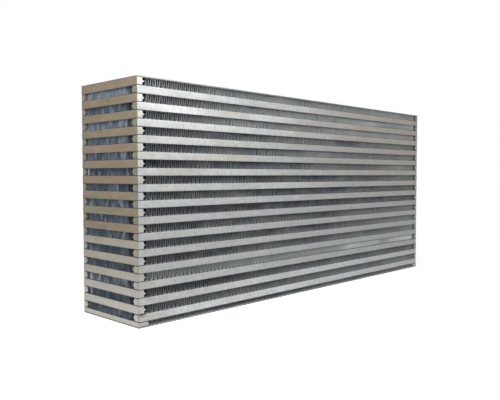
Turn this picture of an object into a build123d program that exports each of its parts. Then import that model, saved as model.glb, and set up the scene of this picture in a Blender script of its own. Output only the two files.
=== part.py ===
from build123d import *

import math
import os

# A brazed bar-and-plate charge-air cooler core, without its end tanks.
# X runs along the length, Y through the depth and Z up the stack, in millimetres.
# The origin is the middle of the underside.
# Ambient passages open to the front and rear, charge passages open to the two ends.

# Plan size of the core, over its closure bars
core_length = 609.6
core_depth = 114.3

# Stack, from the bottom up: plate, base passage, charge and ambient passages by turns, plate
passage_pairs = 15
plate_thickness = 1.5
sheet_thickness = 0.45
base_passage_height = 5.05
charge_passage_height = 8.25
ambient_passage_height = 8.6

# Closure bars of the ambient passages: one across the depth at each end
ambient_bar_width = 8.0
ambient_nose_reach = 2.8
ambient_corner_break = 0.6

# Closure bars of the charge passages: one along the front and one along the rear
charge_bar_width = 7.6
charge_nose_reach = 2.8
charge_corner_break = 1.0

# Bull-nosed closure bars of the base passage
base_bar_width = 11.0
base_corner_break = 0.6

# Nose of a closure bar: a blunt tip at mid height between two hollow flanks, each with a knee
nose_tip_height = 1.1
nose_knee_height = 2.8
nose_knee_reach = 1.0
nose_shoulder_height = 1.2

# Folded fins: stock thickness and spacing of the fold walls
ambient_fin_stock = 0.6
ambient_fold_spacing = 7.7
charge_fin_stock = 0.7
charge_fold_spacing = 7.6
base_fin_stock = 0.5
base_fold_spacing = 7.7

# Side plates and parting sheets, cut back from the faces of the bars
plate_corner_break = 1.5
plate_setback = 0.1
sheet_setback = 0.5

# Clearances of the fins
fin_face_setback = 2.0
fin_nose_gap = 0.3
braze_gap = 0.05

# Levels that follow from the stack
passage_step = ambient_passage_height + charge_passage_height + 2 * sheet_thickness
base_passage_floor = plate_thickness
first_sheet_floor = base_passage_floor + base_passage_height
first_charge_floor = first_sheet_floor + sheet_thickness
first_ambient_floor = first_charge_floor + charge_passage_height + sheet_thickness
charge_floors = [first_charge_floor + i * passage_step for i in range(passage_pairs)]
ambient_floors = [first_ambient_floor + i * passage_step for i in range(passage_pairs)]
top_plate_floor = ambient_floors[-1] + ambient_passage_height

# Middle heights of the passages
base_middle = base_passage_floor + base_passage_height / 2
charge_middles = [floor + charge_passage_height / 2 for floor in charge_floors]
ambient_middles = [floor + ambient_passage_height / 2 for floor in ambient_floors]

# Fin sizes that follow from the bars
base_nose_reach = base_passage_height / 2
ambient_fin_length = core_length - 2 * (ambient_bar_width + ambient_nose_reach + fin_nose_gap)
base_fin_length = core_length - 2 * (base_bar_width + base_nose_reach + fin_nose_gap)
charge_fin_width = core_depth - 2 * (charge_bar_width + charge_nose_reach + fin_nose_gap)
charge_fin_length = core_length - 2 * fin_face_setback
ambient_fin_depth = core_depth - 2 * fin_face_setback

# Section planes of the left and front bars: outer side at the origin, local X pointing inwards
left_bar_plane = Plane(origin=(-core_length / 2, core_depth / 2, 0), x_dir=(1, 0, 0), z_dir=(0, -1, 0))
front_bar_plane = Plane(origin=(-core_length / 2, -core_depth / 2, 0), x_dir=(0, 1, 0), z_dir=(1, 0, 0))


def write(builder, label):
    """Label a finished sub-part and write its STEP file."""
    builder.part.label = label
    export_step(builder.part, f"parts/{label}.step")


def nosed_section(plane, width, reach, height):
    """Section of a nosed closure bar, centred on its mid height."""
    with BuildSketch(plane) as section:
        with BuildLine():
            Polyline(
                (0, 0),
                (0, height / 2),
                (width, height / 2),
                (width, height / 2 - nose_shoulder_height),
                (width + nose_knee_reach, nose_knee_height / 2),
                (width + reach, nose_tip_height / 2),
                (width + reach, 0),
            )
            mirror(about=Plane.XZ)
        make_face()
    return section.sketch


def bull_nosed_section(plane, width, height):
    """Section of a bar whose inner side is a half round, centred on its mid height."""
    with BuildSketch(plane) as section:
        with BuildLine():
            Polyline((0, 0), (0, height / 2), (width, height / 2))
            CenterArc((width, 0), height / 2, start_angle=0, arc_size=90)
            mirror(about=Plane.XZ)
        make_face()
    return section.sketch


def folded_section(plane, run, rise, fold_spacing, stock):
    """Section of a strip folded to and fro, centred on its mid height and on its run."""
    folds = max(2, round(run / fold_spacing))
    step = run / folds
    # A leaning wall is thicker upright than across, so that across it is the stock's thickness
    share = (stock / step) ** 2
    root = math.sqrt(share * rise**2 + (1 - share) * stock**2)
    upright = (root - share * rise) / (1 - share)
    swing = (rise - upright) / 2
    middle = [(i * step - run / 2, swing if i % 2 else -swing) for i in range(folds + 1)]
    with BuildSketch(plane) as section:
        with BuildLine():
            under = Polyline(*[(x, z - upright / 2) for x, z in middle])
            over = Polyline(*[(x, z + upright / 2) for x, z in middle])
            Line(under @ 0, over @ 0)
            Line(under @ 1, over @ 1)
        make_face()
    return section.sketch


def closure_bar(section, run, corner_break, outward):
    """One closure bar with its outer upright corners broken."""
    with BuildPart() as bar:
        extrude(section, amount=run)
        corners = bar.edges().filter_by(Axis.Z).group_by(outward)[0]
        chamfer(corners, corner_break)
    return bar.part


def bar_group(bar, middles, turn, label):
    """Like bars, one at each passage, each turned about the upright axis."""
    with BuildPart() as group:
        with Locations(*[Location((0, 0, z), (0, 0, turn)) for z in middles]):
            add(bar)
    write(group, label)


def base_bars(bar):
    """The two bars of the base passage."""
    with BuildPart() as pair:
        with Locations(Location((0, 0, base_middle)), Location((0, 0, base_middle), (0, 0, 180))):
            add(bar)
    write(pair, "base_bars")


def ambient_fin(length, height, middle, spacing, stock, label):
    """A strip folded along the length, with its folds running through the depth."""
    plane = Plane(origin=(0, ambient_fin_depth / 2, middle), x_dir=(1, 0, 0), z_dir=(0, -1, 0))
    rise = height - 2 * braze_gap
    with BuildPart() as fin:
        extrude(folded_section(plane, length, rise, spacing, stock), amount=ambient_fin_depth)
    write(fin, label)


def charge_fin(middle, label):
    """A strip folded through the depth, with its folds running along the length."""
    plane = Plane(origin=(-charge_fin_length / 2, 0, middle), x_dir=(0, 1, 0), z_dir=(1, 0, 0))
    rise = charge_passage_height - 2 * braze_gap
    section = folded_section(plane, charge_fin_width, rise, charge_fold_spacing, charge_fin_stock)
    with BuildPart() as fin:
        extrude(section, amount=charge_fin_length)
    write(fin, label)


def passage_sheets(floor, label):
    """The parting sheets under and over one charge passage."""
    with BuildPart() as sheets:
        for level in (floor - sheet_thickness, floor + charge_passage_height):
            with BuildSketch(Plane.XY.offset(level)):
                Rectangle(core_length - 2 * sheet_setback, core_depth - 2 * sheet_setback)
            extrude(amount=sheet_thickness)
    write(sheets, label)


def side_plate(level, label):
    """The plain plate under or over the stack."""
    with BuildPart() as plate:
        with BuildSketch(Plane.XY.offset(level)) as outline:
            Rectangle(core_length - 2 * plate_setback, core_depth - 2 * plate_setback)
            chamfer(outline.vertices(), plate_corner_break)
        extrude(amount=plate_thickness)
    write(plate, label)


os.makedirs("parts", exist_ok=True)

ambient_section = nosed_section(
    left_bar_plane, ambient_bar_width, ambient_nose_reach, ambient_passage_height
)
charge_section = nosed_section(
    front_bar_plane, charge_bar_width, charge_nose_reach, charge_passage_height
)
base_section = bull_nosed_section(left_bar_plane, base_bar_width, base_passage_height)

ambient_bar = closure_bar(ambient_section, core_depth, ambient_corner_break, Axis.X)
charge_bar = closure_bar(charge_section, core_length, charge_corner_break, Axis.Y)
base_bar = closure_bar(base_section, core_depth, base_corner_break, Axis.X)

side_plate(0, "side_plate_bottom")
side_plate(top_plate_floor, "side_plate_top")
base_bars(base_bar)
bar_group(ambient_bar, ambient_middles, 0, "ambient_bars_left")
bar_group(ambient_bar, ambient_middles, 180, "ambient_bars_right")
bar_group(charge_bar, charge_middles, 0, "charge_bars_front")
bar_group(charge_bar, charge_middles, 180, "charge_bars_rear")
ambient_fin(
    base_fin_length,
    base_passage_height,
    base_middle,
    base_fold_spacing,
    base_fin_stock,
    "base_fin",
)

for number in range(1, passage_pairs + 1):
    passage_sheets(charge_floors[number - 1], f"passage_sheets_{number:02d}")
    charge_fin(charge_middles[number - 1], f"charge_fin_{number:02d}")
    ambient_fin(
        ambient_fin_length,
        ambient_passage_height,
        ambient_middles[number - 1],
        ambient_fold_spacing,
        ambient_fin_stock,
        f"ambient_fin_{number:02d}",
    )
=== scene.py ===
import math
import random

import bpy
import numpy as np
from mathutils import Matrix, Vector


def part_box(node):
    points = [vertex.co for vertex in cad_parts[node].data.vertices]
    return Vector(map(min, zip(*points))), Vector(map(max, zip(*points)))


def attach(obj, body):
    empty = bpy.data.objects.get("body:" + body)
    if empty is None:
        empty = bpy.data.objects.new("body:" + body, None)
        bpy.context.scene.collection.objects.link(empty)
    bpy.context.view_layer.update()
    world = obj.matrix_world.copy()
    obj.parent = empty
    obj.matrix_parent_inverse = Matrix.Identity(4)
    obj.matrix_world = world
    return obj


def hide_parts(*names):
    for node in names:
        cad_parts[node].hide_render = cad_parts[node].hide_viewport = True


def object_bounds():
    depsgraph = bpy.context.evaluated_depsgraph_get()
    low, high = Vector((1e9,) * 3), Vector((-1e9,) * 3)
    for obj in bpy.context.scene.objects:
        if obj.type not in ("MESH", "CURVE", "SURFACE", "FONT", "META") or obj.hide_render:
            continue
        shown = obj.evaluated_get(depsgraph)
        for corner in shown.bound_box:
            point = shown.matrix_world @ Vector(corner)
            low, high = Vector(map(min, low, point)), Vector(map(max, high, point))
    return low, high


# The dressed core of a bar-and-plate intercooler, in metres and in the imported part's own frame:
# X runs along the length, with the end that the photograph shows at -X, -Y is the front and Z is up.
# Each passage holds a folded strip of foil between two closure bars. Ambient passages are open at the
# front and rear, charge passages at the two ends.

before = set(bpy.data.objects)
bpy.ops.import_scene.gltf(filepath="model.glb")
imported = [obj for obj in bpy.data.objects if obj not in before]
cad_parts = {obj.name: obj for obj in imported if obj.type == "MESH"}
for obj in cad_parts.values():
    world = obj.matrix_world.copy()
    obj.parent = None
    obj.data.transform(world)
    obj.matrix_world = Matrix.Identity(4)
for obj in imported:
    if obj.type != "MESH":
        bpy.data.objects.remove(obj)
cad_low, cad_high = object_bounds()

MM = 0.001
PASSAGES = 15  # of each kind
BRAZE_GAP = 0.05 * MM  # between a strip's crests and its parting sheets

# ---------------------------------------------------------------------------
# Node materials
# ---------------------------------------------------------------------------


class Shader:
    """Adds and links nodes in one new material."""

    def __init__(self, name):
        self.material = bpy.data.materials.new(name)
        self.material.use_nodes = True
        self.tree = self.material.node_tree
        self.tree.nodes.clear()
        self.output = self.node("ShaderNodeOutputMaterial")
        self.where = self.node("ShaderNodeTexCoord").outputs["Object"]

    def node(self, kind, **values):
        made = self.tree.nodes.new(kind)
        for key, value in values.items():
            setattr(made, key, value)
        return made

    def put(self, socket, value):
        """Link a socket, or set it to a plain value."""
        if isinstance(value, bpy.types.NodeSocket):
            self.tree.links.new(value, socket)
        elif value is not None:
            socket.default_value = value

    def math(self, operation, a, b=None, clamp=False):
        made = self.node("ShaderNodeMath", operation=operation, use_clamp=clamp)
        self.put(made.inputs[0], a)
        self.put(made.inputs[1], b)
        return made.outputs[0]

    def noise(self, scale, detail, rough, stretch=(1, 1, 1), shift=(0, 0, 0), distort=0.0):
        place = self.node("ShaderNodeMapping")
        self.put(place.inputs["Vector"], self.where)
        place.inputs["Scale"].default_value = [scale * s for s in stretch]
        place.inputs["Location"].default_value = shift
        made = self.node("ShaderNodeTexNoise")
        self.put(made.inputs["Vector"], place.outputs[0])
        made.inputs["Scale"].default_value = 1.0
        made.inputs["Detail"].default_value = detail
        made.inputs["Roughness"].default_value = rough
        made.inputs["Distortion"].default_value = distort
        return made.outputs["Fac"]

    def spread(self, value, low, high, to_low=0.0, to_high=1.0):
        """The value's range from low to high, stretched over another range and held at its ends."""
        made = self.node("ShaderNodeMapRange")
        self.put(made.inputs["Value"], value)
        made.inputs["From Min"].default_value = low
        made.inputs["From Max"].default_value = high
        made.inputs["To Min"].default_value = to_low
        made.inputs["To Max"].default_value = to_high
        return made.outputs["Result"]

    def mix(self, share, a, b, blend="MIX"):
        made = self.node("ShaderNodeMix", data_type="RGBA", blend_type=blend)
        self.put(made.inputs["Factor"], share)
        colours = [socket for socket in made.inputs if socket.type == "RGBA"]
        self.put(colours[0], a)
        self.put(colours[1], b)
        return next(socket for socket in made.outputs if socket.type == "RGBA")

    def attribute(self, name):
        return self.node("ShaderNodeAttribute", attribute_name=name).outputs["Fac"]

    def split(self, vector):
        made = self.node("ShaderNodeSeparateXYZ")
        self.put(made.inputs[0], vector)
        return made.outputs

    def facing(self, axis):
        """How squarely the surface faces along an axis (0 for X, 2 for Z), either way."""
        normal = self.split(self.node("ShaderNodeNewGeometry").outputs["Normal"])
        return self.math("ABSOLUTE", normal[axis])

    def bump(self, height, distance, strength, under=None):
        made = self.node("ShaderNodeBump")
        made.inputs["Strength"].default_value = strength
        made.inputs["Distance"].default_value = distance
        self.put(made.inputs["Height"], height)
        self.put(made.inputs["Normal"], under)
        return made.outputs[0]

    def surface(self, colour, metallic, roughness, normal):
        made = self.node("ShaderNodeBsdfPrincipled")
        self.put(made.inputs["Base Color"], colour)
        self.put(made.inputs["Metallic"], metallic)
        self.put(made.inputs["Roughness"], roughness)
        self.put(made.inputs["Normal"], normal)
        self.put(self.output.inputs["Surface"], made.outputs[0])


def rgb(r, g, b):
    """Linear colour from 0-255 display values."""
    return [((v / 255 + 0.055) / 1.055) ** 2.4 for v in (r, g, b)] + [1.0]


# Closure bars
MILL_DULL = rgb(182, 184, 184)
MILL_BRIGHT = rgb(200, 202, 201)
DRAWN_LINE = rgb(146, 146, 143)
BLOOM_WARM = rgb(184, 176, 154)
BLOOM_COOL = rgb(184, 194, 200)
BAR_DULL_AND_SHADE = rgb(158, 160, 160)
BAR_PAINTED_HIGHLIGHT = rgb(236, 242, 243)
FAR_WARM = rgb(194, 177, 162)
SCORCH = rgb(116, 102, 88)
BOUNCE_PALE = rgb(196, 192, 185)
PIT = rgb(98, 97, 93)
MOTTLE = rgb(128, 128, 124)
BLUSH_ROSE = rgb(188, 168, 156)
BLUSH_GREEN = rgb(164, 172, 148)
DENT_BROWN = rgb(104, 88, 72)
# Painted shade in the bars' hollows, along their edges and in the gaps round their ends
SHADE_BLACK = rgb(38, 36, 34)
BAR_METALLIC = 0.25

# Where bars change along the core and up it, as (none yet, in full), in metres
FAR_WARM_ALONG = (-0.05, 0.2)
FAR_WARM_UP = (0.1, 0.24)
BOUNCE_DOWN = (0.065, 0.01)
BOUNCE_WANDER = 0.012  # how far the heights of the end faces' painted pale bands wander

# Side plates and parting sheets
PLATE_DULL = rgb(168, 170, 170)
PLATE_BRIGHT = rgb(196, 198, 197)
ROLLED_LINE = rgb(160, 162, 161)
SCUFF = rgb(212, 213, 212)
SHEARED = rgb(150, 149, 146)
SHEARED_END_SHADE = rgb(124, 113, 101)
SHEARED_PALE = rgb(160, 156, 150)
# Painted shade along the plates' eased edges
PLATE_SHADE_DARK = rgb(60, 58, 55)
# Parting sheets, painted dark as shade
SHEET_SHADE_DARK = rgb(52, 51, 49)
SHEET_SHADE_LIGHT = rgb(98, 96, 92)
SHEET_METALLIC = 0.3

# Foil of the folded strips
FOIL_MOTTLE = rgb(92, 98, 104)
FOIL_BAND = rgb(84, 88, 92)
FOIL_SHADE = rgb(26, 28, 31)
FOIL_METALLIC = 0.6
CAST_BLUE = rgb(178, 198, 224)
CAST_GREEN = rgb(186, 222, 216)
CAST_VIOLET = rgb(206, 196, 222)


def drawn_out(across, lengthways, along):
    """Scale in X, Y and Z of a pattern that is drawn out along X or Y."""
    scale = [across] * 3
    scale["XY".index(along)] = lengthways
    return scale


def mill_finish(s, lines, clouds):
    """Drawn aluminium with warm and cool braze bloom; the bar's tone dulls it at random and paints shade
    and highlights on it.
    """
    patches = s.noise(14.0, 3.0, 0.5, stretch=(1, 1, 3.0), shift=(9.2, 5.1, 1.3), distort=0.6)
    tone = s.attribute("tone")
    colour = s.mix(s.spread(clouds, 0.35, 0.68), MILL_DULL, MILL_BRIGHT)
    colour = s.mix(s.spread(lines, 0.58, 0.74, 0.0, 0.35), colour, DRAWN_LINE)
    colour = s.mix(s.spread(patches, 0.52, 0.72, 0.0, 0.6), colour, BLOOM_WARM)
    colour = s.mix(s.spread(patches, 0.46, 0.28, 0.0, 0.6), colour, BLOOM_COOL)
    # Tone above 0 dulls the bar at random and as painted shade; below 0 it paints a highlight
    colour = s.mix(s.spread(tone, 0.0, 1.0, 0.0, 0.35), colour, BAR_DULL_AND_SHADE)
    return s.mix(s.spread(tone, 0.0, -1.0), colour, BAR_PAINTED_HIGHLIGHT)


def end_shade_and_tint(s, along, height, warm, olive, pale, pale_down):
    """The two end faces: painted shade with a warm reflection, heat-tint streaks, and painted floor
    bounce low down.
    """
    drift = drawn_out(2.6, 0.5, along)
    wander = s.noise(9.0, 3.0, 0.6, shift=(0.3, 6.0, 2.0))
    streaks = s.noise(75.0, 4.0, 0.65, stretch=drift, shift=(1.0, 2.0, 3.0), distort=0.4)
    swirl = s.noise(38.0, 3.0, 0.6, stretch=drift, shift=(5.0, 1.0, 8.0), distort=0.8)
    level = s.math("ADD", height, s.spread(wander, 0.3, 0.7, -BOUNCE_WANDER, BOUNCE_WANDER))
    end_colour = s.mix(s.spread(streaks, 0.38, 0.62), warm, olive)
    end_colour = s.mix(s.spread(swirl, 0.5, 0.72, 0.0, 0.6), end_colour, SCORCH)
    # Painted light bounced up from the floor: paler low down, palest at the foot
    end_colour = s.mix(s.spread(level, *pale_down), end_colour, pale)
    return s.mix(s.spread(level, *BOUNCE_DOWN, 0.0, 0.9), end_colour, BOUNCE_PALE)


def bar_wear(s, colour, away, clouds):
    """Pits, mottling and faint blushes, the darker brown of a dent, and the painted shade that the mesh
    marks.
    """
    pits = s.noise(330.0, 3.0, 0.6, shift=(7.0, 2.0, 5.0))
    mottle = s.noise(190.0, 3.0, 0.6, stretch=(1, 1, 1.5), shift=(2.0, 9.0, 4.0))
    blush = s.noise(26.0, 3.0, 0.6, stretch=(1, 1, 1.6), shift=(6.0, 2.0, 1.0))
    tint = s.spread(away, 0.0, 1.0, 0.12, 0.55)
    colour = s.mix(s.spread(pits, 0.65, 0.72, 0.0, 0.7), colour, PIT)
    colour = s.mix(s.spread(mottle, 0.4, 0.7, 0.0, 0.25), colour, MOTTLE)
    colour = s.mix(s.math("MULTIPLY", s.spread(blush, 0.54, 0.66), tint), colour, BLUSH_ROSE)
    colour = s.mix(s.math("MULTIPLY", s.spread(blush, 0.46, 0.34), tint), colour, BLUSH_GREEN)
    # Darker brown where the dent is pressed in
    colour = s.mix(s.attribute("dent_mark"), colour, DENT_BROWN)
    # Painted shade that the mesh marks, a little weaker where the clouds are light
    shade_amount = s.math("MULTIPLY", s.attribute("painted_shade"), s.spread(clouds, 0.3, 0.7, 1.0, 0.8))
    return s.mix(shade_amount, colour, SHADE_BLACK)


def bar_material(name, along, warm, olive, pale, pale_down):
    """Mill-finish bar drawn along X or Y, warmer far from the -X end, with painted shade and heat tint
    on both ends.
    """
    s = Shader(name)
    place = s.split(s.where)
    lines = s.noise(26.0, 4.0, 0.7, stretch=drawn_out(60.0, 1.0, along))
    clouds = s.noise(70.0, 5.0, 0.6, stretch=(1, 1, 2.2), shift=(3.1, 0.4, 7.7))
    grain = s.noise(2600.0, 2.0, 0.6)
    # The far upper part of the long faces is duller and warmer
    away = s.math("MULTIPLY", s.spread(place[0], *FAR_WARM_ALONG), s.spread(place[2], *FAR_WARM_UP), clamp=True)
    colour = s.mix(s.math("MULTIPLY", away, 0.7), mill_finish(s, lines, clouds), FAR_WARM)
    # The end faces take painted shade with a warm reflection, and heat-tint streaks
    end_face = s.spread(s.facing(0), 0.55, 0.95)
    tinted_and_shaded = s.math("MULTIPLY", end_face, s.spread(clouds, 0.2, 0.5, 0.85, 1.0))
    colour = s.mix(tinted_and_shaded, colour, end_shade_and_tint(s, along, place[2], warm, olive, pale, pale_down))
    colour = bar_wear(s, colour, away, clouds)
    rough = s.spread(s.math("ADD", clouds, s.math("MULTIPLY", lines, 0.5)), 0.4, 1.0, 0.36, 0.58)
    normal = s.bump(grain, 0.02 * MM, 0.5)
    normal = s.bump(clouds, 0.3 * MM, 0.35, normal)
    normal = s.bump(lines, 0.06 * MM, 0.6, normal)
    s.surface(colour, BAR_METALLIC, rough, normal)
    return s.material


def plate_material():
    """Rolled aluminium sheet with faint rolling lines, scuffs and braze bloom."""
    s = Shader("side_plate_metal")
    lines = s.noise(22.0, 4.0, 0.7, stretch=(1, 50, 50))
    clouds = s.noise(24.0, 5.0, 0.6, shift=(2.2, 8.4, 0.3))
    scuffs = s.noise(55.0, 2.0, 0.5, stretch=(1, 9, 1), shift=(4.0, 1.0, 2.0), distort=1.4)
    colour = s.mix(s.spread(clouds, 0.3, 0.7), PLATE_DULL, PLATE_BRIGHT)
    colour = s.mix(s.spread(lines, 0.6, 0.75, 0.0, 0.3), colour, ROLLED_LINE)
    colour = s.mix(s.spread(scuffs, 0.64, 0.7, 0.0, 0.5), colour, SCUFF)
    # Sheared edges are dull and darker; on the ends they are painted brown like the end faces' painted
    # shade
    edge = s.mix(s.spread(s.facing(0), 0.3, 0.9), SHEARED, SHEARED_END_SHADE)
    edge = s.mix(s.spread(s.noise(300.0, 3.0, 0.6), 0.35, 0.7, 0.0, 0.5), edge, SHEARED_PALE)
    colour = s.mix(s.spread(s.facing(2), 0.9, 0.6), colour, edge)
    # Painted shade along both eased edges of the plate
    colour = s.mix(s.math("MULTIPLY", s.attribute("painted_shade"), 0.6), colour, PLATE_SHADE_DARK)
    rough = s.spread(clouds, 0.3, 0.75, 0.32, 0.55)
    normal = s.bump(lines, 0.05 * MM, 0.5, s.bump(clouds, 0.5 * MM, 0.3))
    s.surface(colour, SHEET_METALLIC, rough, normal)
    return s.material


def sheet_material():
    """Clad parting sheet, painted dark as the shade in the gaps between bars and strips, with clouds of
    braze.
    """
    s = Shader("parting_sheet_metal")
    clouds = s.noise(160.0, 4.0, 0.6)
    colour = s.mix(s.spread(clouds, 0.35, 0.7), SHEET_SHADE_DARK, SHEET_SHADE_LIGHT)
    rough = s.spread(clouds, 0.3, 0.7, 0.4, 0.6)
    s.surface(colour, SHEET_METALLIC, rough, s.bump(clouds, 0.1 * MM, 0.5))
    return s.material


def fin_material(name, dark, light, glint, casts, blotch, blotch_scale, banding):
    """Thin rolled foil: grey, streaked from fold to fold, with faint cool, green and violet casts; its
    tone paints glints and shade on it.
    """
    s = Shader(name)
    streak = s.noise(900.0, 2.0, 0.6, stretch=(1, 1, 0.12))
    colour = s.mix(s.spread(streak, 0.3, 0.7), dark, light)
    for shift, cast in ((1.7, CAST_BLUE), (4.9, CAST_GREEN), (8.3, CAST_VIOLET)):
        where = s.noise(16.0, 2.0, 0.5, stretch=(1, 1, 4.0), shift=(shift, 3.3, 0.2))
        colour = s.mix(s.spread(where, 0.5, 0.62, 0.0, casts), colour, cast, "MULTIPLY")
    mottle = s.noise(blotch_scale, 3.0, 0.65, stretch=(1, 1, 0.6), shift=(6.1, 2.7, 3.9))
    colour = s.mix(s.spread(mottle, 0.35, 0.75, 0.0, blotch), colour, FOIL_MOTTLE)
    bands = s.noise(75.0, 3.0, 0.6, stretch=(1, 1, 5.0), shift=(1.1, 7.2, 5.3))
    colour = s.mix(s.spread(bands, 0.5, 0.68, 0.0, banding), colour, FOIL_BAND)
    # Painted glints in some of the streaks
    colour = s.mix(s.spread(bands, 0.42, 0.28, 0.0, 0.5 * banding), colour, glint)
    tone = s.attribute("tone")
    # Tone above 0 paints glints, below 0 paints shade
    colour = s.mix(s.spread(tone, 0.0, 1.0), colour, glint)
    colour = s.mix(s.spread(tone, 0.0, -1.0), colour, FOIL_SHADE)
    rough = s.spread(streak, 0.3, 0.7, 0.38, 0.55)
    s.surface(colour, FOIL_METALLIC, rough, s.bump(streak, 0.05 * MM, 0.4))
    return s.material


MATERIALS = {
    "bar_x": bar_material(
        "bar_along_length",
        along="X",
        warm=rgb(134, 128, 116),
        olive=rgb(128, 126, 112),
        pale=rgb(170, 165, 155),
        pale_down=(0.1, 0.066),
    ),
    "bar_y": bar_material(
        "bar_across_depth",
        along="Y",
        warm=rgb(150, 120, 93),
        olive=rgb(128, 123, 98),
        pale=rgb(168, 159, 146),
        pale_down=(0.106, 0.092),
    ),
    "plate": plate_material(),
    "sheet": sheet_material(),
    "ambient_fin": fin_material(
        "ambient_fin_foil",
        dark=rgb(150, 152, 154),
        light=rgb(204, 206, 208),
        glint=rgb(232, 238, 238),
        casts=0.6,
        blotch=0.45,
        blotch_scale=240.0,
        banding=0.2,
    ),
    "charge_fin": fin_material(
        "charge_fin_foil",
        dark=rgb(117, 133, 146),
        light=rgb(168, 185, 199),
        glint=rgb(214, 226, 240),
        casts=0.5,
        blotch=0.75,
        blotch_scale=620.0,
        banding=0.1,
    ),
}

# ---------------------------------------------------------------------------
# Mesh helpers
# ---------------------------------------------------------------------------

SHARP_ANGLE = math.radians(33)  # edges that turn by more stay sharp


def new_piece(name, points, faces, material, nodes, layers):
    """A mesh piece that takes the place of CAD nodes, which it hides, and rides on the one body."""
    mesh = bpy.data.meshes.new(name)
    mesh.from_pydata(points, [], faces)
    mesh.validate()
    for key, values in layers.items():
        layer = mesh.attributes.new(key, "FLOAT", "POINT")
        layer.data.foreach_set("value", np.asarray(values, np.float32))
    mesh.shade_smooth()
    mesh.set_sharp_from_angle(angle=SHARP_ANGLE)
    piece = bpy.data.objects.new(name, mesh)
    bpy.context.scene.collection.objects.link(piece)
    mesh.materials.append(MATERIALS[material])
    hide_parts(*nodes)
    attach(piece, "root")


def smooth_noise(rng, count, gap, size):
    """Values at `count` steps that wander smoothly, with `gap` steps between random knots."""
    knots = [rng.uniform(-size, size) for _ in range(count // gap + 3)]
    out = []
    for i in range(count):
        k, t = divmod(i / gap, 1.0)
        t = t * t * (3 - 2 * t)
        out.append(knots[int(k)] * (1 - t) + knots[int(k) + 1] * t)
    return np.array(out)


def patch(distance):
    """Flat-topped fall from 1 at distance 0 to almost nothing past 1."""
    return np.exp(-(distance**4))


def arc(centre, radius, start, end, steps):
    """Points on an arc, angles in degrees."""
    out = []
    for i in range(steps + 1):
        a = math.radians(start + (end - start) * i / steps)
        out.append((centre[0] + radius * math.cos(a), centre[1] + radius * math.sin(a)))
    return out


def loft_faces(sections, count, base):
    """Quads between sections of `count` points, and the two end faces."""
    faces = []
    for j in range(sections - 1):
        a, b = base + j * count, base + (j + 1) * count
        for k in range(count):
            n = (k + 1) % count
            faces.append((a + k, a + n, b + n, b + k))
    last = base + (sections - 1) * count
    faces.append(tuple(base + k for k in reversed(range(count))))
    faces.append(tuple(last + k for k in range(count)))
    return faces


# ---------------------------------------------------------------------------
# Places in the core
# ---------------------------------------------------------------------------

core_length = cad_high.x - cad_low.x
core_depth = cad_high.y - cad_low.y
ambient_boxes = [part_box(f"ambient_fin_{i:02d}") for i in range(1, PASSAGES + 1)]
charge_boxes = [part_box(f"charge_fin_{i:02d}") for i in range(1, PASSAGES + 1)]
base_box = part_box("base_fin")


def middle_of(box):
    return (box[0].z + box[1].z) / 2


def height_of(box):
    """Height of the passage round a strip."""
    return box[1].z - box[0].z + 2 * BRAZE_GAP


ambient_middles = [middle_of(box) for box in ambient_boxes]
charge_middles = [middle_of(box) for box in charge_boxes]


# Points of a bar are given as u inwards, v upwards and s along it
def at_left(u, v, s, middle):
    return (cad_low.x + u, cad_low.y + s, middle + v)


def at_right(u, v, s, middle):
    return (cad_high.x - u, cad_high.y - s, middle + v)


def at_front(u, v, s, middle):
    return (cad_high.x - s, cad_low.y + u, middle + v)


def at_rear(u, v, s, middle):
    return (cad_low.x + s, cad_high.y - u, middle + v)


# ---------------------------------------------------------------------------
# Closure bars
# ---------------------------------------------------------------------------

AMBIENT_BAR_WIDTH = 7.1 * MM
AMBIENT_NOSE_REACH = 2.6 * MM
CHARGE_BAR_WIDTH = 8.6 * MM
CHARGE_NOSE_REACH = 2.3 * MM
REAR_BAR_WIDTH = 7.8 * MM
REAR_NOSE_REACH = 2.0 * MM
BASE_BAR_WIDTH = 11.0 * MM

# How far a bar's softened end reaches along it, inwards and up
AMBIENT_END = (0.7 * MM, 0.6 * MM, 0.45 * MM)
CHARGE_END = (1.4 * MM, 1.2 * MM, 0.75 * MM)

EDGE = 0.35 * MM  # rounding of a bar's long edges
INNER_EDGE = 0.6 * EDGE  # rounding of the edges beside the nose
FACE_LEVELS = (0.12, 0.5)  # points on the outer face, as shares of the half height
LONG_EDGE_SHADE = (0.0, 0.4, 0.8, 1.0, 1.0)  # painted shade round a long edge, from the outer face on
BULL_STEP = 11.25  # degrees between points of the half-round side

# Nose: a narrow tip on a wider root, with a hollow on each side
NOSE_TIP = 1.0 * MM
NOSE_ROOT = 3.0 * MM
SHOULDER = (-0.1 * MM, 1.2 * MM)  # where the hollow starts: inwards, and up from the sheet
ROOT_ROUND = (0.2 * MM, 0.4 * MM)  # easing where the nose grows out of the hollow
TIP_ROUND = (0.3 * MM, 0.35 * MM)
TIP_SHADE = (0.7, 0.4)  # share of the hollows' painted shade on the last points of the nose's tip
FLANKS = ((0.3, 0.25 * MM), (0.65, 0.2 * MM))  # (share of the reach, how far the flank sags)

END_TURNS = (0, 6, 22, 38, 54, 72, 90)  # degrees round a softened end
END_GAPS_MM = (0.6, 1.3, 2.2, 3.2, 4.4, 5.8, 7.6, 10.0, 13.5, 18.0)  # sections past it
SECTION_GAP = 18 * MM  # between sections in the middle of a bar
FACE_WAVE = (6, 0.07 * MM)  # wander of a bar's outer face: sections between knots, and size
END_SHORTFALL_MM = 0.25  # most by which a bar's end stands back
END_SLOPE = 15 * MM  # length over which that fades out
SET_BACK_MM = 0.12  # most by which a whole bar stands back
PROFILE_SHADE_SHARE = 0.3  # share of a profile's painted shade that shows along a bar
END_RING_SHADE = 0.7  # painted shade round a bar's softened ends, in the gaps between bars
MARK_GAIN = 1.6  # how soon the painted shade of an end and the mark of a dent reach full strength

DENT_FALL = 1.3  # how steeply a dent rises to its rim
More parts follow.
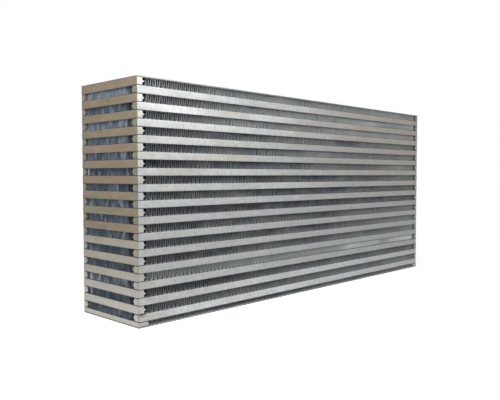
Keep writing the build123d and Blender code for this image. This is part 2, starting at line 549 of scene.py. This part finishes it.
# The bent near corner of the lowest front bar: place, reach and push are inwards, up and along
CORNER_DENT = {
    "bar": 0,
    "at": (0.0, 3.4 * MM, core_length - 5.0 * MM),
    "radius": (6 * MM, 3.6 * MM, 7 * MM),
    "push": (1.3 * MM, -0.8 * MM, 0.0),
    "mark": 0.75,
}

# Painted highlights (or, below 0, painted shade) along the front charge bars, as {bar above the lowest:
# ((distance of the middle from the left end, reach, amount), ...)} in mm
BAR_HIGHLIGHTS_AND_SHADE = {
    14: ((400, 190, 0.95), (200, 120, 0.4)),
    13: ((60, 45, 0.9), (215, 60, 0.9), (330, 60, 0.5), (420, 60, 0.5)),
    12: ((220, 190, 0.5), (520, 90, 0.4)),
    11: ((150, 170, 0.6),),
    10: ((100, 150, 0.65),),
    9: ((60, 35, -1.0), (150, 60, 0.3)),
    8: ((260, 90, 0.5),),
    6: ((60, 120, -0.3),),
    5: ((100, 550, -0.6),),
    4: ((40, 80, -0.5),),
    2: ((130, 60, 0.4), (520, 100, 0.3)),
    1: ((130, 80, 0.5), (420, 250, 0.8)),
    0: ((100, 60, 0.4), (220, 60, 0.5), (450, 200, 0.4)),
}


def outer_face(half):
    """The lower half of a bar's outer face and its rounded edge, as (inward, up, painted shade)."""
    face = [(0.0, -level * half, 0.0) for level in FACE_LEVELS]
    corner = arc((EDGE, -half + EDGE), EDGE, 180, 270, len(LONG_EDGE_SHADE) - 1)
    return face + [(u, v, painted_shade) for (u, v), painted_shade in zip(corner, LONG_EDGE_SHADE)]


def mirrored(lower):
    return lower + [(u, -v, painted_shade) for u, v, painted_shade in reversed(lower)]


def nosed_profile(width, reach, box, shade_amount):
    """Closed outline of a bar whose inner side is a narrow nose between two deep hollows, with the
    painted shade of each point, deepest in the hollows.
    """
    half = height_of(box) / 2
    root, tip = NOSE_ROOT / 2, NOSE_TIP / 2
    lower = outer_face(half)
    lower += [(width * 0.6, -half, 1.0), (width - INNER_EDGE, -half, 1.0)]
    lower += [(width, -half + INNER_EDGE, 1.0), (width + SHOULDER[0], -half + SHOULDER[1], shade_amount)]
    lower += [(width, -root - ROOT_ROUND[1], shade_amount), (width + ROOT_ROUND[0], -root, shade_amount)]
    lower += [(width + reach * t, -root + (root - tip) * t + sag, shade_amount) for t, sag in FLANKS]
    lower += [(width + reach - TIP_ROUND[0], -tip, TIP_SHADE[0] * shade_amount)]
    lower += [(width + reach, -tip + TIP_ROUND[1], TIP_SHADE[1] * shade_amount)]
    return mirrored(lower)


def bull_profile(width, box):
    """Closed outline of a bar with a half-round inner side."""
    half = height_of(box) / 2
    steps = round(90 / BULL_STEP) - 1
    lower = outer_face(half) + [(width * 0.5, -half, 1.0)]
    lower += [(u, v, 1.0) for u, v in arc((width, 0), half, -90, -BULL_STEP, steps)]
    return mirrored(lower)


def bar_sections(run, reach):
    """(distance, softness) along a bar, close together near its two ends."""
    near = []
    for turn in END_TURNS:
        a = math.radians(turn)
        near.append((reach * (1 - math.cos(a)), 1 - math.sin(a)))
    near += [(reach + gap * MM, 0.0) for gap in END_GAPS_MM]
    first = near[-1][0]
    steps = max(2, round((run - 2 * first) / SECTION_GAP))
    middle = [(first + (run - 2 * first) * i / steps, 0.0) for i in range(1, steps)]
    return near + middle + [(run - distance, soft) for distance, soft in reversed(near)]


def bar_rows(profile, run, end, rng):
    """One bar as [section][outline] of (inward, up, along), and its painted shade, with soft, uneven
    ends.
    """
    end_along, end_in, end_up = end
    sections = bar_sections(run, end_along)
    outline = np.array([point[:2] for point in profile])
    shade_amount = np.array([point[2] for point in profile])
    width, half = outline[:, 0].max(), outline[:, 1].max()
    outer = 1 - outline[:, 0] / width
    drift = np.abs(smooth_noise(rng, len(sections), *FACE_WAVE))
    near_short, far_short = (rng.uniform(0, END_SHORTFALL_MM) * MM for _ in range(2))
    set_back = rng.uniform(0, SET_BACK_MM) * MM
    rows, painted_shade = [], []
    for i, (distance, soft) in enumerate(sections):
        u = outline[:, 0] + outer * (soft * end_in + drift[i] + set_back)
        v = outline[:, 1] * (1 - soft * end_up / half)
        shift = near_short * max(0, 1 - distance / END_SLOPE)
        shift -= far_short * max(0, 1 - (run - distance) / END_SLOPE)
        rows.append(np.column_stack([u, v, np.full(len(u), distance + shift)]))
        ring = END_RING_SHADE * min(1.0, MARK_GAIN * soft)
        cap = i in (0, len(sections) - 1)
        painted_shade.append(np.zeros(len(shade_amount)) if cap else np.minimum(1.0, shade_amount * PROFILE_SHADE_SHARE + ring))
    return np.array(rows), np.array(painted_shade)


def press(rows, dent):
    """Push a smooth hollow into a bar, and return how strongly each point is marked."""
    gap = np.linalg.norm((rows - np.array(dent["at"])) / np.array(dent["radius"]), axis=2)
    share = np.clip(1 - gap, 0, 1) ** DENT_FALL
    rows += share[:, :, None] * np.array(dent["push"])
    return np.clip(MARK_GAIN * share, 0, 1) * dent["mark"]


def bars_piece(node, profile, run, end, spots, material, seed, dent=None, painted_light=None):
    """All the bars of one node; each spot is (placing function, middle height)."""
    rng = random.Random(seed)
    points, faces = [], []
    layers = {"tone": [], "painted_shade": [], "dent_mark": []}
    for number, (place, middle) in enumerate(spots):
        rows, painted_shade = bar_rows(profile, run, end, rng)
        dent_mark = np.zeros(painted_shade.shape)
        if dent and dent["bar"] == number:
            dent_mark = press(rows, dent)
        # The placing functions mirror the bar, so its faces are turned round
        faces += [face[::-1] for face in loft_faces(rows.shape[0], rows.shape[1], len(points))]
        points += [place(u, v, s, middle) for u, v, s in rows.reshape(-1, 3)]
        tone = np.full(painted_shade.shape, rng.uniform(0.0, 1.0))
        # Painted highlights lower the tone and painted shade raises it
        for middle_mm, reach_mm, amount in (painted_light or {}).get(number, ()):
            tone -= amount * patch((rows[:, :, 2] - (run - middle_mm * MM)) / (reach_mm * MM))
        for key, values in (("tone", tone), ("painted_shade", painted_shade), ("dent_mark", dent_mark)):
            layers[key] += list(values.ravel())
    new_piece(f"{node}_detail", points, faces, material, [node], layers)


def every(place, middles):
    return [(place, middle) for middle in middles]


# Profiles of the left and right ambient bars (the left ones have more painted shade in their hollows),
# of the front and rear charge bars, and of the base bars
left_profile = nosed_profile(AMBIENT_BAR_WIDTH, AMBIENT_NOSE_REACH, ambient_boxes[0], shade_amount=2.2)
right_profile = nosed_profile(AMBIENT_BAR_WIDTH, AMBIENT_NOSE_REACH, ambient_boxes[0], shade_amount=1.2)
front_profile = nosed_profile(CHARGE_BAR_WIDTH, CHARGE_NOSE_REACH, charge_boxes[0], shade_amount=1.3)
rear_profile = nosed_profile(REAR_BAR_WIDTH, REAR_NOSE_REACH, charge_boxes[0], shade_amount=1.3)
base_profile = bull_profile(BASE_BAR_WIDTH, base_box)

left_spots = every(at_left, ambient_middles)
right_spots = every(at_right, ambient_middles)
front_spots = every(at_front, charge_middles)
rear_spots = every(at_rear, charge_middles)
base_spots = [(place, middle_of(base_box)) for place in (at_left, at_right)]

bars_piece("ambient_bars_left", left_profile, core_depth, AMBIENT_END, left_spots, "bar_y", seed=11)
bars_piece("ambient_bars_right", right_profile, core_depth, AMBIENT_END, right_spots, "bar_y", seed=12)
bars_piece(
    "charge_bars_front",
    front_profile,
    core_length,
    CHARGE_END,
    front_spots,
    "bar_x",
    seed=13,
    dent=CORNER_DENT,
    painted_light=BAR_HIGHLIGHTS_AND_SHADE,
)
bars_piece("charge_bars_rear", rear_profile, core_length, CHARGE_END, rear_spots, "bar_x", seed=14)
bars_piece("base_bars", base_profile, core_depth, AMBIENT_END, base_spots, "bar_y", seed=15)

# ---------------------------------------------------------------------------
# Folded fins
# ---------------------------------------------------------------------------

FOIL = 0.2 * MM  # thickness
FIN_START = 9.9 * MM  # from an end of the core to an ambient strip
BASE_FIN_START = 13.7 * MM
FIN_RECESS = 0.8 * MM  # from the core's faces to a strip's open edges
CHARGE_FIN_FRONT = 11.8 * MM  # from the front face to the charge strips
CHARGE_FIN_REAR = 10.1 * MM
AMBIENT_FOLD_GAP = 3.08 * MM
CHARGE_FOLD_GAP = 1.8 * MM
FOLD_SPREAD = 0.02  # unevenness of the fold spacing
WALL_LEAN_MM = (0.08, 0.17)  # least and most lean of a wall at each of its ends
FOLD_POINTS = 4  # points of the fold line at each fold
CREST_EASE = 0.55 * MM  # rounding of a crest, along the strip
CREST_DROP = 0.75 * MM  # and down it
MITRE_FLOOR = 0.5  # keeps sharp turns of the foil from growing spikes

# Cross-sections behind each open edge of a herringbone: (how far in, sideways shift, brightness); the
# brightness paints a highlight at the open edge and shade deeper in
CHEVRON = (
    (0.0, 0.0, 0.2),
    (1.4 * MM, 0.0, 0.05),
    (5.5 * MM, 1.5 * MM, -0.75),
    (10.5 * MM, -1.5 * MM, -0.9),
)
CHEVRON_EASE = 12  # points over which the herringbone dies out towards a strip's ends
TOP_SHADE = 0.22  # how much darker the foil gets towards the top
STRIP_END_SHADE = 0.5  # how much darker the outermost points of a strip are

# Unevenness of an ambient strip's open edges; a wave is (points between knots, size)
FRONT_JITTER = 0.045 * MM
FRONT_WAVE = (46, 0.08 * MM)
KNOCKS = (3, 6)  # fewest and most
KNOCK_REACH = (20, 60)  # in points
KNOCK_SIZE_MM = (0.08, 0.2)
REAR_JITTER = 0.3 * MM
RECESS_JITTER = 0.15 * MM
RECESS_WAVE = (30, 0.3 * MM)

OFFSET_ROW = 3.2 * MM  # depth of a row of folds near an open end of a charge passage
OFFSET_ROWS = 4
ROW_OFFSET = 0.25  # sideways, as a share of the fold gap
ROW_LEAN = 0.16 * MM  # unevenness of a row's folds, sideways
ROW_JITTER = 0.4 * MM  # and along the core
FLAP_REACH = 0.55  # share of a flap's listed reach that bends and gets a painted highlight
FLAP_LEAN = 0.5 * MM  # sideways, in the row at the photographed end
FLAP_SHINE = 0.8

# Shading of a charge strip
PATCHES = (10, 0.1)  # slow changes: points between knots, and size
BESIDE_BAR = 16  # points of a row that lie beside a bar
FRONT_BAR_SHADE = 0.6
REAR_BAR_LIGHT = 0.1
ROW_TOP_SHADE = 0.08
ROW_FAR_SHADE = 0.35  # at the side of a row that is away from the photographed end

# Brightness of the foil of each ambient strip at the left end, the middle and the right end
STRIP_TONES = {
    15: (0.12, 0.42, 0.65),
    14: (0.05, 0.5, 0.95),
    13: (0.0, 0.4, 0.9),
    12: (-0.08, 0.08, 0.38),
    11: (-0.08, 0.2, 0.5),
    10: (-0.17, 0.04, 0.6),
    9: (-0.02, -0.15, 0.4),
    8: (0.1, -0.15, 0.35),
    7: (-0.1, -0.28, 0.22),
    6: (0.15, -0.05, 0.5),
    5: (0.1, 0.03, 0.55),
    4: (-0.05, 0.08, 0.62),
    3: (0.72, 1.15, 1.4),
    2: (-0.02, 0.12, 0.35),
    1: (0.1, 0.25, 0.68),
}
BASE_TONES = (0.05, 0.1, 0.35)
STRAIGHT = ((0, 0),)
# Sideways lean of the open front edges, as (share of the length, mm)
STRIP_BENDS = {
    14: ((0.7, 0), (0.85, 0.07), (1, 0.14)),
    13: ((0.4, 0), (0.6, 0.1)),
    3: ((0.55, 0.0), (0.75, 0.22), (1, 0.38)),
}
# Brightness of the charge strips, and share of their folds with a painted glint
WINDOW_TONES = {1: 0.1, 3: 0.05, 8: -0.05, 11: 0.15, 12: 0.15, 13: 0.25, 14: -0.1, 15: 0.35}
WINDOW_FLECKS = {3: 0.35, 8: 0.3, 11: 0.15, 13: 0.2, 15: 0.15}
PLAIN_FLECKS = 0.06
# Folds of the charge strips with painted highlights, bent in the row at the -X end: (distance from the
# front face, reach, brightness) in mm
WINDOW_FLAPS = {
    15: ((34, 3.5, 0.3), (26, 3, 0.3), (62, 2, 0.2)),
    12: ((29, 8, 0.3), (35, 1.6, 0.5), (61, 2, 0.5), (50, 1.5, 0.3)),
    11: ((27, 5, 0.4), (15.5, 1.2, 0.6)),
    10: ((101, 2.4, 0.9), (80, 1.5, 0.3), (17, 5, 0.3)),
    9: ((74, 1.2, 0.5), (40.5, 2, 0.7), (15, 1.2, 0.4)),
    7: ((84, 1.2, 0.3), (78, 1.2, 0.3), (72, 1.2, 0.3)),
    6: ((60, 3, 0.3),),
    5: ((88, 1.4, 0.9), (80, 1.2, 0.3)),
    3: ((98, 1.6, 0.8), (80, 1.2, 0.5), (66, 1.2, 0.5), (52, 1.2, 0.5), (40, 1.2, 0.5), (25, 1.6, 0.6)),
    2: ((98, 1.5, 0.8),),
}


def fold_line(run, rise, fold_gap, rng):
    """Centre line (along, up) of a folded strip: nearly upright walls joined by flat, eased crests."""
    folds = round(run / fold_gap)
    steps = [1 + rng.uniform(-FOLD_SPREAD, FOLD_SPREAD) for _ in range(folds)]
    at = [-run / 2]
    for step in steps:
        at.append(at[-1] + step * run / sum(steps))
    half = rise / 2
    line = []
    for i in range(folds):
        side = 1 if i % 2 else -1
        lean = rng.uniform(*WALL_LEAN_MM) * MM
        start, end = at[i] + lean, at[i + 1] - lean
        line += [(start, side * (half - CREST_DROP)), (start + CREST_EASE, side * half)]
        line += [(end - CREST_EASE, side * half), (end, side * (half - CREST_DROP))]
    return np.array(line) * (1, 1 - FOIL / rise)


def offset_line(line, half_thick):
    """The two sides of a strip about its centre line, mitred."""
    seg = np.diff(line, axis=0)
    seg /= np.linalg.norm(seg, axis=1)[:, None]
    n = np.column_stack([-seg[:, 1], seg[:, 0]])
    before = np.vstack([n[:1], n])
    after = np.vstack([n, n[-1:]])
    mitre = before + after
    mitre /= np.linalg.norm(mitre, axis=1)[:, None]
    stretch = 1 / np.maximum(MITRE_FLOOR, (mitre * after).sum(1))
    shift = mitre * (half_thick * stretch)[:, None]
    return line + shift, line - shift


def strip_points(line, rise, depths, bends, recesses):
    """A strip's section carried through the depths, as (along, through, up)."""
    points = []
    for depth, bend, recess in zip(depths, bends, recesses):
        for side in offset_line(line, FOIL / 2):
            up = np.clip(side[:, 1], -rise / 2, rise / 2)
            points.append(np.column_stack([side[:, 0] + bend, depth + recess, up]))
    return np.concatenate(points)


def strip_faces(count, sections, base=0):
    """Faces of a strip with `count` points on each side of each section."""
    ring = 2 * count
    last = sections - 1
    faces = []
    for i in range(count - 1):
        for j in range(last):
            a, b = base + j * ring + i, base + (j + 1) * ring + i
            faces.append((a, b, b + 1, a + 1))
            faces.append((a + count, a + count + 1, b + count + 1, b + count))
        f, r = base + i, base + last * ring + i
        faces.append((f, f + 1, f + 1 + count, f + count))
        faces.append((r, r + count, r + 1 + count, r + 1))
    for j in range(last):
        for i, flip in ((0, False), (count - 1, True)):
            a, b = base + j * ring + i, base + (j + 1) * ring + i
            quad = (a, a + count, b + count, b)
            faces.append(quad[::-1] if flip else quad)
    return faces


def per_fold(rng, count, low, high):
    """One random value for each fold, given at every point of the line."""
    values = [rng.uniform(low, high) for _ in range(count // FOLD_POINTS + 1)]
    return np.repeat(values, FOLD_POINTS)[:count]


def glints(rng, count, base, spread, chance, bright):
    """Brightness of each fold: an even base, a little spread, and a few folds with a painted glint."""
    values = []
    for _ in range(count // FOLD_POINTS + 1):
        lift = rng.uniform(0.5, 1.0) * bright if rng.random() < chance else 0.0
        values.append(base + rng.uniform(0, spread) + lift)
    return np.repeat(values, FOLD_POINTS)[:count]


def bent_edge(rng, away, bends):
    """Sideways shift of a front edge: uneven folds, slow waves, a few knocks and the set bends."""
    count = len(away)
    shift = per_fold(rng, count, -FRONT_JITTER, FRONT_JITTER)
    shift += smooth_noise(rng, count, *FRONT_WAVE)
    for _ in range(rng.randint(*KNOCKS)):
        spot, reach = rng.uniform(0, count), rng.uniform(*KNOCK_REACH)
        size = rng.choice((-1, 1)) * rng.uniform(*KNOCK_SIZE_MM) * MM
        shift += size * np.exp(-(((np.arange(count) - spot) / reach) ** 2))
    shares, sizes = zip(*bends)
    return shift + np.interp(away, shares, [size * MM for size in sizes])


def ambient_fin(node, box, seed, tones, bends=STRAIGHT, start=FIN_START):
    """One ambient passage's strip: a herringbone fold whose open edges are slightly bent."""
    rng = random.Random(seed)
    low, high = box
    run, half_depth, rise = core_length - 2 * start, core_depth / 2 - FIN_RECESS, high.z - low.z
    line = fold_line(run, rise, AMBIENT_FOLD_GAP, rng)
    count = len(line)
    away = (line[:, 0] + run / 2) / run
    from_end = np.minimum(np.arange(count), np.arange(count)[::-1])
    ease = np.minimum(1, from_end / CHEVRON_EASE)
    front = bent_edge(rng, away, bends)
    rear = per_fold(rng, count, -REAR_JITTER, REAR_JITTER)
    depths = [inset - half_depth for inset, _, _ in CHEVRON]
    depths += [-depth for depth in reversed(depths)]
    sway = [shift * ease for _, shift, _ in CHEVRON]
    sideways = [front * ease] + sway[1:] + sway[:0:-1] + [rear * ease]
    edge = np.abs(smooth_noise(rng, count, *RECESS_WAVE)) + per_fold(rng, count, 0, RECESS_JITTER)
    recesses = [edge] + [np.zeros(count)] * (len(depths) - 2) + [-edge]
    origin = ((low.x + high.x) / 2, (low.y + high.y) / 2, (low.z + high.z) / 2)
    points = strip_points(line, rise, depths, sideways, recesses) + origin
    # Turned round, because they are made for charge strips, whose two level axes are swapped
    faces = [face[::-1] for face in strip_faces(count, len(depths))]
    glow = glints(rng, count, base=0, spread=0.05, chance=0.01, bright=0.2)
    glow -= TOP_SHADE * line[:, 1] / (rise / 2)
    glow += np.interp(away, (0, 0.5, 1), tones)
    glow -= np.where(from_end < 2, STRIP_END_SHADE, 0)
    gains = [gain for _, _, gain in CHEVRON]
    tone = np.concatenate([np.tile(glow + gain, 2) for gain in gains + gains[::-1]])
    new_piece(f"{node}_folds", points.tolist(), faces, "ambient_fin", [node], {"tone": tone})


def charge_fin(node, box, seed, tone, flecks, flaps):
    """The strip of one charge passage: short offset rows near each open end, plain between."""
    rng, patch_rng = random.Random(seed), random.Random(seed + 1000)
    low, high = box
    run = core_depth - CHARGE_FIN_FRONT - CHARGE_FIN_REAR
    half_length, rise = core_length / 2 - FIN_RECESS, high.z - low.z
    origin = ((low.x + high.x) / 2, cad_low.y + CHARGE_FIN_FRONT + run / 2, (low.z + high.z) / 2)
    stops = [OFFSET_ROW * i - half_length for i in range(OFFSET_ROWS + 1)]
    stops += [-stop for stop in reversed(stops)]
    points, faces, tones = [], [], []
    for number, span in enumerate(zip(stops, stops[1:])):
        line = fold_line(run - CHARGE_FOLD_GAP / 2, rise, CHARGE_FOLD_GAP, rng)
        line[:, 0] += (ROW_OFFSET if number % 2 else -ROW_OFFSET) * CHARGE_FOLD_GAP
        count = len(line)
        lean = per_fold(rng, count, -ROW_LEAN, ROW_LEAN)
        jitter = per_fold(rng, count, 0, ROW_JITTER)
        shade = tone + smooth_noise(patch_rng, count, *PATCHES)
        shade += glints(rng, count, base=-0.15, spread=0.4, chance=flecks, bright=0.8)
        for spot, reach, bright in flaps:
            from_front = line[:, 0] + origin[1] - cad_low.y
            near = patch((from_front - spot * MM) / (FLAP_REACH * reach * MM))
            shade += FLAP_SHINE * bright * near
            if number == 0:
                lean += FLAP_LEAN * bright * near
        faces += strip_faces(count, 2, len(points))
        strip = strip_points(line, rise, span, [lean, -lean], [jitter, -jitter])
        points += (strip[:, [1, 0, 2]] + origin).tolist()
        # Darkest beside the front bar, and darker towards the top and the far side of each row
        shade[:BESIDE_BAR] -= FRONT_BAR_SHADE
        shade[-BESIDE_BAR:] += REAR_BAR_LIGHT
        shade -= ROW_TOP_SHADE * line[:, 1] / (rise / 2)
        tones += list(np.tile(shade, 2)) + list(np.tile(shade - ROW_FAR_SHADE, 2))
    new_piece(f"{node}_folds", points, faces, "charge_fin", [node], {"tone": tones})


for number, box in enumerate(ambient_boxes, 1):
    bends = STRIP_BENDS.get(number, STRAIGHT)
    ambient_fin(f"ambient_fin_{number:02d}", box, 100 + number, STRIP_TONES[number], bends)
for number, box in enumerate(charge_boxes, 1):
    tone, flecks = WINDOW_TONES.get(number, 0.0), WINDOW_FLECKS.get(number, PLAIN_FLECKS)
    charge_fin(f"charge_fin_{number:02d}", box, 200 + number, tone, flecks, WINDOW_FLAPS.get(number, ()))
ambient_fin("base_fin", base_box, 99, BASE_TONES, start=BASE_FIN_START)

# ---------------------------------------------------------------------------
# Side plates, and the parting sheets, which keep their CAD solids
# ---------------------------------------------------------------------------

PLATE_EASE = 0.4 * MM  # rounding of a plate's sheared edges
PLATE_EASE_SHADE = (0.6, 1.0, 0.7, 0.3, 0.0)  # painted shade from the underside round to the edge's face
PLATE_POINT_GAP = 12 * MM  # between points round the outline
PLATE_WOBBLE = (4, 0.06 * MM)  # unevenness of the outline: points between knots, and size


def plate(node, seed):
    """A side plate with eased, slightly uneven sheared edges."""
    rng = random.Random(seed)
    low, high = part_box(node)
    thick, long, wide = high.z - low.z, high.x - low.x, high.y - low.y
    # (inset, height, painted shade) from the underside round the edge
    corner = arc((PLATE_EASE, PLATE_EASE), PLATE_EASE, 270, 180, len(PLATE_EASE_SHADE) - 1)
    edge = [(2 * PLATE_EASE, 0.0, 0.0)]
    edge += [(u, v, painted_shade) for (u, v), painted_shade in zip(corner, PLATE_EASE_SHADE)]
    edge += [(u, thick - v, painted_shade) for u, v, painted_shade in reversed(edge)]
    along, across = round(long / PLATE_POINT_GAP), round(wide / PLATE_POINT_GAP)
    spots = [(k / along, 0.0) for k in range(along)] + [(1.0, k / across) for k in range(across)]
    spots += [(1 - k / along, 1.0) for k in range(along)]
    spots += [(0.0, 1 - k / across) for k in range(across)]
    wobble = np.abs(smooth_noise(rng, len(spots), *PLATE_WOBBLE))
    points, painted_shade = [], []
    for inset, height, shade_amount in edge:
        for (s, t), sink in zip(spots, wobble):
            u = inset + sink
            x = low.x + u + s * (long - 2 * u)
            y = low.y + u + t * (wide - 2 * u)
            points.append((x, y, low.z + height))
            painted_shade.append(shade_amount)
    faces = loft_faces(len(edge), len(spots), 0)
    new_piece(f"{node}_detail", points, faces, "plate", [node], {"painted_shade": painted_shade})


plate("side_plate_bottom", seed=31)
plate("side_plate_top", seed=32)

for name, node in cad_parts.items():
    if name.startswith("passage_sheets"):
        node.data.materials.clear()
        node.data.materials.append(MATERIALS["sheet"])

# ---------------------------------------------------------------------------
# Floor, world, lights and camera
# ---------------------------------------------------------------------------

WHITE = (1, 1, 1, 1)
FILL_STRENGTH = 0.4  # light of the world on things, while directly it is seen white
FLOOR_SIZE = 30.0  # from the middle to an edge
FLOOR_GAP = 0.0002  # under the object, so that the two faces don't share a plane
PAPER = (0.78, 0.82)  # brightness of the paper floor, which varies a little
# Glow of the floor for directly seen rays: with the world's light it just reaches the world's white,
# so the floor has no visible edge and still keeps the object's shadow
FLOOR_GLOW = 0.69

# Lamps: name, place, where it points, size and power in watts
LAMPS = (
    ("key", (-0.31, -0.2, 0.42), (-0.22, -0.05, 0.2), (0.25, 0.12), 1.4),
    ("side", (-1.3, -0.1, 0.45), (-0.3, 0.0, 0.12), (0.7, 0.5), 2.5),
)

# The photograph's view: heading turns from +Y towards +X, dip is downwards, and roll tilts the frame
CAMERA_AT = (-0.67672, -0.58554, 0.16753)
CAMERA_HEADING, CAMERA_DIP, CAMERA_ROLL = (math.radians(a) for a in (45.915, 2.445, -0.037))
CAMERA_LENS = 42.47
CAMERA_SENSOR = 36.0


def seen_directly(tree):
    """1 for camera, mirror and glass rays, 0 for the light that falls on things."""
    path = tree.nodes.new("ShaderNodeLightPath")
    seen = path.outputs["Is Camera Ray"]
    for kind in ("Is Glossy Ray", "Is Transmission Ray"):
        either = tree.nodes.new("ShaderNodeMath")
        either.operation = "MAXIMUM"
        tree.links.new(seen, either.inputs[0])
        tree.links.new(path.outputs[kind], either.inputs[1])
        seen = either.outputs[0]
    return seen


def make_world():
    world = bpy.data.worlds.new("studio")
    bpy.context.scene.world = world
    world.use_nodes = True
    tree = world.node_tree
    tree.nodes.clear()
    out = tree.nodes.new("ShaderNodeOutputWorld")
    mix = tree.nodes.new("ShaderNodeMixShader")
    fill = tree.nodes.new("ShaderNodeBackground")
    white = tree.nodes.new("ShaderNodeBackground")
    fill.inputs["Color"].default_value = WHITE
    fill.inputs["Strength"].default_value = FILL_STRENGTH
    white.inputs["Color"].default_value = WHITE
    white.inputs["Strength"].default_value = 1.0
    tree.links.new(seen_directly(tree), mix.inputs[0])
    tree.links.new(fill.outputs[0], mix.inputs[1])
    tree.links.new(white.outputs[0], mix.inputs[2])
    tree.links.new(mix.outputs[0], out.inputs[0])


def floor_material():
    """Pale paper that glows a little where it is seen directly."""
    material = bpy.data.materials.new("floor_paper")
    material.use_nodes = True
    tree = material.node_tree
    tree.nodes.clear()
    out = tree.nodes.new("ShaderNodeOutputMaterial")
    add = tree.nodes.new("ShaderNodeAddShader")
    paper = tree.nodes.new("ShaderNodeBsdfDiffuse")
    glow = tree.nodes.new("ShaderNodeEmission")
    noise = tree.nodes.new("ShaderNodeTexNoise")
    noise.inputs["Scale"].default_value = 3.0
    shade = tree.nodes.new("ShaderNodeMapRange")
    shade.inputs["To Min"].default_value, shade.inputs["To Max"].default_value = PAPER
    strength = tree.nodes.new("ShaderNodeMath")
    strength.operation = "MULTIPLY"
    strength.inputs[1].default_value = FLOOR_GLOW
    tree.links.new(noise.outputs["Fac"], shade.inputs["Value"])
    tree.links.new(shade.outputs["Result"], paper.inputs["Color"])
    tree.links.new(seen_directly(tree), strength.inputs[0])
    tree.links.new(strength.outputs[0], glow.inputs["Strength"])
    tree.links.new(paper.outputs[0], add.inputs[0])
    tree.links.new(glow.outputs[0], add.inputs[1])
    tree.links.new(add.outputs[0], out.inputs["Surface"])
    return material


def make_floor():
    size = FLOOR_SIZE
    mesh = bpy.data.meshes.new("floor")
    corners = [(-size, -size, 0), (size, -size, 0), (size, size, 0), (-size, size, 0)]
    mesh.from_pydata(corners, [], [(0, 1, 2, 3)])
    mesh.materials.append(floor_material())
    floor = bpy.data.objects.new("floor", mesh)
    floor.location.z = cad_low.z - FLOOR_GAP
    bpy.context.scene.collection.objects.link(floor)


def area_light(name, at, target, size, power):
    light = bpy.data.lights.new(name, "AREA")
    light.shape = "RECTANGLE"
    light.size, light.size_y = size
    light.energy = power
    lamp = bpy.data.objects.new(name, light)
    lamp.location = at
    lamp.visible_camera = False
    lamp.rotation_euler = (Vector(target) - Vector(at)).to_track_quat("-Z", "Y").to_euler()
    bpy.context.scene.collection.objects.link(lamp)


def make_camera():
    camera = bpy.data.cameras.new("camera")
    camera.sensor_width = CAMERA_SENSOR
    camera.lens = CAMERA_LENS
    camera.clip_start = 0.02
    camera.clip_end = 100.0
    eye = bpy.data.objects.new("camera", camera)
    level = Matrix.Rotation(-CAMERA_HEADING, 4, "Z") @ Matrix.Rotation(math.pi / 2 - CAMERA_DIP, 4, "X")
    eye.matrix_world = Matrix.Translation(CAMERA_AT) @ level @ Matrix.Rotation(CAMERA_ROLL, 4, "Z")
    bpy.context.scene.collection.objects.link(eye)
    bpy.context.scene.camera = eye


make_world()
make_floor()
for lamp in LAMPS:
    area_light(*lamp)
make_camera()

bpy.context.scene.view_settings.view_transform = "Standard"
